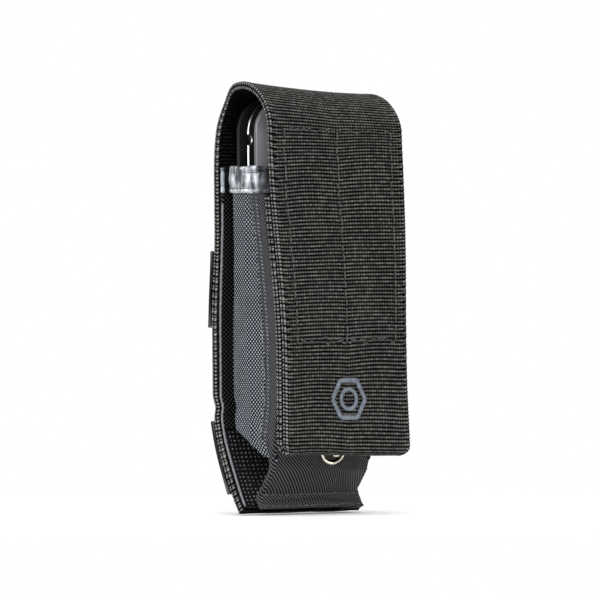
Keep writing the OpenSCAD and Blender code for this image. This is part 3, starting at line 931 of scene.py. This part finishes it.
# The side wall seen from above: share of the way forward, and how far it stands out
GUSSET_SECTION = (
    (0.0, 24.5), (0.03, 23.0), (0.055, 20.9), (0.09, 20.3), (0.14, 21.2), (0.19, 23.3),
    (0.26, 24.1), (0.42, 24.55), (0.58, 24.9), (0.78, 24.4), (0.93, 23.4), (1.0, 23.1),
)


def gusset_point(side, t, z):
    """A point of the side wall, at share t of the way from the back to the front."""
    shares, reach = np.array(GUSSET_SECTION).T
    fine = np.linspace(0, 1, 400)
    kernel = np.hanning(23)
    padded = np.pad(np.interp(fine, shares, reach), 11, mode="edge")
    soft_reach = np.convolve(padded, kernel / kernel.sum(), "valid")
    rear = back_d(z) + bow(24.0, z) + WEB_T + LINING_T + 0.3 + 0.6 * smooth((30 - z) / 10)
    front = panel_face(0 * z, z) + twist(side * 24.0, z) - CLOTH_T - 0.4
    d = rear + (front - rear) * t
    x = np.interp(t, fine, soft_reach)
    middle = np.sin(np.pi * np.clip(t, 0, 1))
    folds = 0.55 * noise(30 + side, z / 17, t * 2.4) + 0.22 * noise(34 + side, z / 6, t * 5)
    crease = 0.35 * hump(t - 0.56, 0.05 * np.sin(z / 14), 0.05)
    x = x + (folds * 0.8 + crease) * middle - 0.3 * smooth((z - 96) / 10) * middle
    x = x - 2.4 * smooth((27 - z) / 13) * t
    return pulled_in(side * x, z), d, z


def gusset(side, node):
    rows, cols = ((190, 110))
    t = np.linspace(0, 1, cols)[None, :]
    lower = 27.5 - 10.5 * smooth((t - 0.12) / 0.95)
    share = np.linspace(0, 1, rows)[:, None]
    z = lower + (BAND_LOW_Z + 0.6 - lower) * share
    x, d, z = gusset_point(side, t + 0 * z, z)
    thick = CLOTH_T * 0.8
    outer = world(x, d, z)
    inner = world(x - side * thick, d, z)
    steps = np.hypot(np.diff(x, axis=1), np.diff(d, axis=1))
    along = np.concatenate([np.zeros((rows, 1)), np.cumsum(steps, axis=1)], axis=1)
    weave = coordinates(along * side, z, 0)
    # Painted shade: the side wall turns nearly black in its fold by the back.
    shade = 0.06 + 0.94 * smooth((t - 0.12) / 0.09) + 0 * z
    if side < 0:
        outer, inner, weave, shade = [part[:, ::-1] for part in (outer, inner, weave, shade)]
    name = "side_wall_left" if side < 0 else "side_wall_right"
    piece = sheet_mesh(name, outer, inner, weave, shade)
    fit(piece, CLOTH, "nylon_cloth", "sheath", node)


def lining():
    """Black cloth on the inside of the back."""
    rows, cols = ((160, 60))
    half = WEB_W / 2 - 1.0
    line = Path([(back_d(z), z) for z in np.linspace(0, MOUTH_Z - 0.5, 300)])
    s = np.linspace(0.4, line.length, rows)[:, None]
    x = np.linspace(-half, half, cols)[None, :]
    ripple = 0.12 * noise(40, x / 6, s / 8)
    face, rear = WEB_T + LINING_T + ripple, WEB_T + 0.05
    _, z = line.at(s + 0 * x)
    flat_x = back_pulled_in(x, z)
    shift = bow(flat_x, z)

    def layer(n):
        _, d, height = line.place(s + 0 * x, flat_x, n)
        return world(flat_x, d + shift, height)

    outer, inner = layer(face), layer(rear + 0 * ripple)
    piece = sheet_mesh("lining_cloth", outer, inner, coordinates(x, s, 0))
    fit(piece, LINING, "lining", "sheath", "back_lining")
    edges = []
    for side in (-1, 1):
        run = np.linspace(0.6, 104, 150)
        x = side * (half - 0.1 + 0.25 * noise(44, run / 9, 0))
        x, d, z = line.place(run, x, WEB_T + LINING_T + 0.1)
        edges.append(world(back_pulled_in(x, z), d + bow(x, z), z))
    cord = threads("lining_edge", edges, 0.42, 8, 0.9)
    fit(cord, PALE_THREAD, "nylon_cloth", "sheath")


def band_plan(height):
    """The binding's line seen from above: left side, front, right side and back. With it
    come the lengths of its left side and of its back."""
    share = np.linspace(0, 1, 46)[:-4]
    x, d, _ = gusset_point(-1, share, height + 0 * share)
    plan = list(zip(x, d))
    side_run = run_lengths(plan)[-1] + 0.5
    front = float(panel_face(0.0, height))
    plan += [(-23.9, front - 2.2), (-23.2, front - 0.5), (-21.5, front + 0.1)]
    plan += [(x, front + 0.1) for x in np.linspace(-19, 0, 12)]
    plan += [(-x, d) for x, d in plan[-2::-1]]
    rear_x, rear_d = plan[0]
    plan += [(x, rear_d + 0.2) for x in np.linspace(22, -22, 24)]
    return Path(plan + plan[:1]), side_run, 2 * abs(rear_x)


def mouth_band():
    """Vinyl binding that closes the pouch's upper edge all the way round."""
    middle = (MOUTH_Z + BAND_LOW_Z) / 2
    line, side_run, rear_run = band_plan(middle)
    rows, around = 420, 34
    s = np.linspace(0, line.length, rows + 1)[:-1]
    x, d = line.at(s)
    hx, hd = [np.roll(part, -2) - np.roll(part, 2) for part in (x, d)]
    size = np.hypot(hx, hd)
    out_x, out_d = -hd / size, hx / size
    angle = np.arange(around) * 2 * np.pi / around
    half_h, half_t = (MOUTH_Z - BAND_LOW_Z) / 2 + 0.3, 0.85
    up = half_h * squarish(np.sin(angle), 0.45)
    out = half_t * squarish(np.cos(angle), 0.45)
    lap = s[:, None]
    wave = 0.5 * noise(50, lap / 7, 0)
    height = middle + up * (1 + 0.03 * noise(51, lap / 3, 0)) + wave * (up > 0)
    rough = 0.28 * noise(52, lap / 1.6, height / 1.9) + 0.14 * noise(53, lap / 0.7, height / 1.1)
    pinch = 0.28 * sum(hump(height, z, 0.5) for z in BAND_SEAMS_Z)
    from_back = np.minimum(lap, line.length - rear_run - lap)
    slim = 1 - 0.5 * smooth((from_back + 4) / 2) * smooth((4.2 - from_back) / 2)
    reach = (out + np.sign(out) * (rough - pinch) + 0.35) * slim
    grid = world(x[:, None] + out_x[:, None] * reach, d[:, None] + out_d[:, None] * reach, height)
    i, j = np.meshgrid(np.arange(rows), np.arange(around), indexing="ij")
    k, m = (i + 1) % rows, (j + 1) % around
    faces = np.stack([i * around + j, k * around + j, k * around + m, i * around + m], -1)
    # Painted light on the binding: dark in the side wall's fold by the back and from the front panel's
    # edge across the front, and dim along the back.
    bright = np.clip(smooth((0.7 - from_back) / 0.6) + smooth((from_back - 5.4) / 1.2), 0, 1)
    bright = bright * (1 - 0.85 * smooth((from_back - side_run) / 1.2))
    bright = np.where(from_back < 0, 0.3, bright) + 0 * height
    labels = [("weave", coordinates(lap, height, 0).reshape(-1, 3)), ("rise", bright.ravel())]
    piece = make_object("mouth_vinyl", grid, faces.reshape(-1, 4).tolist(), labels)
    fit(piece, VINYL, "vinyl", "sheath", "mouth_binding")


def bottom_hem():
    """Turned-in seam allowances between the lining and the front panel."""
    rows = 120
    x = np.linspace(-21.2, 21.2, rows)[:, None]
    angle = (np.arange(28) * 2 * np.pi / 28)[None, :]
    top, bottom = 4.8, HEM_LOW_Z - 0.1
    middle_z, half_z = (top + bottom) / 2, (top - bottom) / 2
    z = middle_z + half_z * squarish(np.sin(angle), 0.5)
    rear = back_d(z) + (WEB_T + LINING_T) * 1.25 + 0.15
    front = panel_face(x, z + 0 * x) - CLOTH_T - 0.1
    side = (squarish(np.cos(angle), 0.35) + 1) / 2
    layers = 0.15 * np.sin(z * 5)
    d = rear + (np.maximum(front, rear + 0.6) - rear) * side + layers * (side > 0.5)
    grid = world(pulled_in(x, z), d, z + 0 * x)
    piece = tube_mesh("hem_layers", grid, [("weave", coordinates(x, d, z))])
    fit(piece, CLOTH, "nylon_cloth", "sheath", "bottom_hem")


# --- Sewing ---

def on_flap_front(a, b, lift):
    """A point on the flap's outer face at x = a and height b, lifted off it by lift."""
    d = front_d(b) + twist(a, b)
    return world(a, d - 0.1 + lift, b - sag(a, b) - droop(a, b))


def flap_sewing():
    strokes = []
    for x in STITCH_X:
        ends = ((x, STITCH_LOW_Z), (x, STITCH_TOP_Z))
        strokes += seam(on_flap_front, ends, 2.9, 0.6, wander=0.45)
    for z, inset in ((STITCH_TOP_Z, 0), (STITCH_LOW_Z, 0), (STITCH_LOW_Z + 1.1, 1.2)):
        ends = ((STITCH_X[0] + inset, z), (STITCH_X[2] - inset, z))
        strokes += seam(on_flap_front, ends, 2.3, 0.4, 0.22, 0.7, int(z))
    fit(threads("flap_sewing", strokes, 0.2), THREAD, "thread", "flap")


def on_back(a, b, lift):
    return world(a, back_d(b) + bow(a, b) - BAR_T - 0.05 - lift, b)


def on_panel(a, b, lift):
    return world(pulled_in(a, b), panel_face(a, b) + lift, b)


def on_belt_strap(a, b, lift):
    return world(a, -BAR_T - lift + 0 * a, b)


def pouch_sewing():
    strokes = []
    for low_z in (LOWER_BAR_Z, UPPER_BAR_Z):
        for z in (low_z + 3, low_z + BAR_H - 3):
            strokes += seam(on_back, ((-23.4, z), (23.4, z)), 2.8, seed=11)
        for x in (-22.4, 22.4):
            ends = ((x, low_z + 1.5), (x, low_z + BAR_H - 1.5))
            strokes += seam(on_back, ends, 2.8, seed=12)
    strokes += seam(on_panel, ((-20.2, 6.2), (20.2, 6.2)), seed=13)
    strokes += seam(on_panel, ((-20.4, 2.6), (20.4, 2.6)), seed=14)
    fit(threads("pouch_sewing", strokes, 0.2), THREAD, "thread", "sheath")


def anchor_sewing():
    inset, top, bottom = STRAP_W / 2 - 2.5, STRAP_TOP_Z - 1.4, 98.6
    corners = [(-inset, bottom), (inset, bottom), (inset, top), (-inset, top)]
    lines = [(a, b, 15) for a, b in zip(corners, corners[1:] + corners[:1])]
    lines += [(corners[0], corners[2], 16), (corners[1], corners[3], 17)]
    strokes = []
    for a, b, seed in lines:
        strokes += seam(on_belt_strap, (a, b), 2.4, 0.4, 0.2, 0.15, seed)
    fit(threads("anchor_sewing", strokes, 0.2), THREAD, "thread", "sheath")


def panel_edging():
    """Rows of overcast loops along the front panel's side returns."""
    strokes = []
    for side in (-1, 1):
        for inset, reach, lean in ((0.0, 0.7, 0.5), (2.6, 0.55, -0.4)):
            for k, z in enumerate(np.arange(22, BAND_LOW_Z - 1, 1.2)):
                t = np.linspace(0, 1, 6)
                depth = panel_face(0.0, z) - 1.3 - return_depth(z) + inset
                d = depth + reach * (2 * t - 1) + 0.1 * lattice(61, k, 1)
                x = side * (panel_half(z) + 0.18 + 0.28 * np.sin(np.pi * t) + 0 * d)
                strokes.append(world(pulled_in(x, z), d, z + lean * (t - 0.5)))
    fit(threads("panel_edging", strokes, 0.26), PALE_THREAD, "nylon_cloth", "sheath")


def band_sewing():
    """Two rows of stitches round the outside of the vinyl binding, on the visible sides."""
    strokes = []
    for z in (105.3, 110.4):
        for side in (-1, 1):
            for k in range(9):
                t = np.linspace(0.24 + 0.078 * k, 0.24 + 0.078 * k + 0.062, 7)
                x, d, _ = gusset_point(side, t, np.full(7, 108.0))
                lift = 0.95 + 0.2 * np.sin(np.pi * np.linspace(0, 1, 7))
                strokes.append(world(x + side * lift, d, np.full(7, z) + 0.1 * (k % 2)))
    fit(threads("band_sewing", strokes, 0.17), THREAD, "thread", "sheath")


# --- Stitched nut emblem ---

def emblem():
    """A hexagonal nut in satin stitch: short threads packed side by side across each line."""
    strokes = []

    def satin(points, width, spacing=0.26):
        line = Path(points)
        for k, s in enumerate(np.arange(0, line.length, spacing)):
            here = np.array(line.at(s))
            heading = np.array(line.at((s + 0.3) % line.length)) - here
            across = np.array([-heading[1], heading[0]]) / np.linalg.norm(heading)
            t = np.linspace(-1, 1, 7)
            spread = width / 2 * (1 + 0.12 * (lattice(71, k, 3) - 0.5))
            a, b = [middle + step * t * spread for middle, step in zip(here, across)]
            strokes.append(on_flap_front(a, BADGE_Z + b, 0.5 - 0.45 * t ** 4))

    for radius, count, width in ((0.9 * BADGE_R, 6, 1.5), (0.42 * BADGE_R, 48, 1.3)):
        turns = np.linspace(0, 2 * math.pi, count + 1)
        satin(radius * np.stack([np.cos(turns), np.sin(turns)], -1), width)
    piece = threads("nut_emblem", strokes, 0.17, 6, 0.7)
    fit(piece, BADGE_THREAD, "thread", "flap", "flap_badge")


# --- Snap studs ---

# A stud from its rim to its top: radius, height, and brightness as painted shade in the hollow
# round the post
STUD_PROFILE = (
    (5.2, 0.0, 1), (5.2, 0.45, 1), (5.05, 0.85, 1), (4.7, 1.05, 1), (4.3, 0.95, 0.9),
    (4.0, 0.6, 0.3), (3.8, 0.3, 0), (2.5, 0.25, 0), (2.1, 0.7, 0.3), (1.9, 1.5, 0.8),
    (2.2, 2.1, 1), (2.25, 2.6, 1), (1.9, 2.95, 1), (1.0, 3.1, 1), (0.02, 3.12, 1),
)


def snap_studs():
    """Two studs with rolled rims and posts, on the front panel under the flap."""
    profile = np.array(STUD_PROFILE)
    spread = np.linspace(0, len(profile) - 1, 57)
    r, h, rise = [np.interp(spread, np.arange(len(profile)), column) for column in profile.T]
    around = 72
    angle = np.arange(around) * 2 * np.pi / around
    x, up = r[:, None] * np.cos(angle), r[:, None] * np.sin(angle)
    grids = []
    for z in (low("snap_studs").z + 5.1, high("snap_studs").z - 5.2):
        lean = panel_d(z + 3.0) - panel_d(z - 3.0)
        along = np.array([lean, 6.0]) / math.hypot(lean, 6.0)
        d = panel_d(z) + up * along[0] + h[:, None] * along[1]
        grids.append(world(x, d, z + up * along[1] - h[:, None] * along[0]))
    # The rise paints shade in the hollow round each post.
    piece = tubes("snap_stud_pair", grids, "rise", [np.repeat(rise, around)] * len(grids))
    fit(piece, STUD_NICKEL, "nickel", "sheath", "snap_studs")


# --- CAD parts that keep their own shape ---

def both(*names):
    return tuple(side + name for name in names for side in ("left_", "right_"))


FINISHES = (
    ("nickel", NICKEL, ("flap_socket",)),
    ("blackened_metal", BLACKENED, ("stud_rivets", "strap_stud", "strap_cap")),
    ("tool_steel", TOOL_STEEL, both("front_plate")),
    # The rear plates take the tool steel painted near black as shade; the jaws share it.
    ("tool_steel", SHADED_DARK_STEEL, both("jaw", "rear_plate")),
    ("bright_steel", BRIGHT_STEEL, ("pliers_pivot",)),
    ("bright_steel", BRIGHT_STEEL, both("cutter", "spacer", "tang_pin", "blade_pin")),
    ("bright_steel", BRIGHT_STEEL, both("tang_washers", "blade_washers")),
    ("bright_steel", LINER_STEEL, both("liner")),
    ("blade_steel", BLADE_STEEL, (
        "knife_blade", "saw_blade", "large_driver", "file_blade", "serrated_blade",
        "can_opener", "small_driver", "awl_blade",
    )),
)
THIN = both("tang_washers", "blade_washers")


def finish_cad_parts():
    for slot, material, names in FINISHES:
        for name in names:
            obj = frame["nodes"][name]
            give(obj, material)
            weld = obj.modifiers.new("weld", "WELD")
            weld.merge_threshold = 1e-6
            bevel = obj.modifiers.new("bevel", "BEVEL")
            bevel.width = (0.05 if name in THIN else 0.16) * MM
            bevel.segments = 2
            bevel.limit_method = "ANGLE"
            bevel.angle_limit = math.radians(35)
            bevel.harden_normals = True


# --- Stage ---

# The camera stands where the photo was taken from, far off and almost level
LOOK_AT = Vector((0, -4.5, 70)) * MM
VIEW_AZIMUTH = math.radians(-36.75)
VIEW_ELEVATION = math.radians(1.04)
VIEW_ROLL = math.radians(0.53)
VIEW_DISTANCE = 5.7
VIEW_WIDTH = 194.05 * MM
VIEW_OFFSET = (4.237 * MM, 1.132 * MM)


def camera():
    data = bpy.data.cameras.new("camera")
    data.sensor_width = 36
    data.lens = data.sensor_width * VIEW_DISTANCE / VIEW_WIDTH
    data.clip_start, data.clip_end = 0.1, 50
    obj = add_object("camera", data)
    a, e = VIEW_AZIMUTH, VIEW_ELEVATION
    back = Vector((math.sin(a) * math.cos(e), -math.cos(a) * math.cos(e), math.sin(e)))
    turn = (-back).to_track_quat("-Z", "Y").to_matrix()
    turn = Quaternion(turn @ Vector((0, 0, 1)), -VIEW_ROLL).to_matrix() @ turn
    right, up = turn @ Vector((1, 0, 0)), turn @ Vector((0, 1, 0))
    look = LOOK_AT - right * VIEW_OFFSET[0] - up * VIEW_OFFSET[1]
    obj.matrix_world = turn.to_4x4()
    obj.location = look + back * VIEW_DISTANCE
    bpy.context.scene.camera = obj


def area_light(name, place, size, watts, colour=(1, 1, 1)):
    data = bpy.data.lights.new(name, "AREA")
    data.shape = "RECTANGLE"
    data.size, data.size_y = size
    data.energy = watts
    data.color = colour
    obj = add_object(name, data)
    obj.location = place
    target = Vector((0, 0, 0.07))
    obj.rotation_mode = "QUATERNION"
    obj.rotation_quaternion = (target - obj.location).to_track_quat("-Z", "Y")
    obj.visible_camera = False


def pale_floor():
    """A pale floor that takes the object's soft shadow and fades out around it."""
    floor_mesh = bpy.data.meshes.new("floor")
    r, below = 3.0, -0.4 * MM
    corners = [(-r, -r, below), (r, -r, below), (r, r, below), (-r, r, below)]
    floor_mesh.from_pydata(corners, [], [(0, 1, 2, 3)])
    floor = add_object("floor", floor_mesh)
    m = Shader("floor")
    place = m.add("TexCoord").outputs["Object"]
    far = m.add("VectorMath", {"operation": "LENGTH"}, Vector=place).outputs["Value"]
    fade = m.add("MapRange", Value=far, From_Min=0.07, From_Max=0.26)
    m.finish(Base_Color=(0.93, 0.93, 0.93), Roughness=0.9, Specular_IOR_Level=0.0)
    clear = m.add("BsdfTransparent")
    mixer = m.add("MixShader")
    m.feed(mixer.inputs[0], fade.outputs[0])
    m.feed(mixer.inputs[1], m.surface.outputs[0])
    m.feed(mixer.inputs[2], clear.outputs[0])
    m.feed(m.tree.nodes["Material Output"].inputs[0], mixer.outputs[0])
    floor.data.materials.append(m.material)


def studio_light():
    """Soft light from all round, in front of a plain white background."""
    studio = bpy.data.worlds.new("studio")
    bpy.context.scene.world = studio
    studio.use_nodes = True
    tree = studio.node_tree
    light, seen = tree.nodes["Background"], tree.nodes.new("ShaderNodeBackground")
    for node, strength in ((light, 0.34), (seen, 1.0)):
        node.inputs[0].default_value = (1, 1, 1, 1)
        node.inputs[1].default_value = strength
    path = tree.nodes.new("ShaderNodeLightPath")
    mixer = tree.nodes.new("ShaderNodeMixShader")
    tree.links.new(path.outputs["Is Camera Ray"], mixer.inputs[0])
    tree.links.new(light.outputs[0], mixer.inputs[1])
    tree.links.new(seen.outputs[0], mixer.inputs[2])
    tree.links.new(mixer.outputs[0], tree.nodes["World Output"].inputs[0])
    area_light("key", (-0.5, -1.0, 0.75), (0.7, 0.7), 10.5)
    area_light("left_fill", (-1.1, -0.25, 0.3), (0.6, 0.8), 9, (0.92, 0.96, 1))
    area_light("right_fill", (0.9, -0.8, 0.4), (0.6, 0.8), 5)
    area_light("left_rim", (-0.9, 0.75, 0.35), (0.6, 0.8), 8, (0.94, 0.97, 1))
    area_light("top", (0.1, 0.2, 1.2), (0.8, 0.8), 7.5)
    bpy.context.scene.view_settings.view_transform = "Standard"


main_strap()
cross_bar("lower_cross_bar", LOWER_BAR_Z, "lower_bar", 4)
cross_bar("upper_cross_bar", UPPER_BAR_Z, "upper_bar", 5)
belt_strap()
front_panel()
gusset(-1, "gusset_left")
gusset(1, "gusset_right")
lining()
mouth_band()
bottom_hem()
flap_sewing()
pouch_sewing()
anchor_sewing()
panel_edging()
band_sewing()
emblem()
snap_studs()
finish_cad_parts()
pale_floor()
studio_light()
camera()
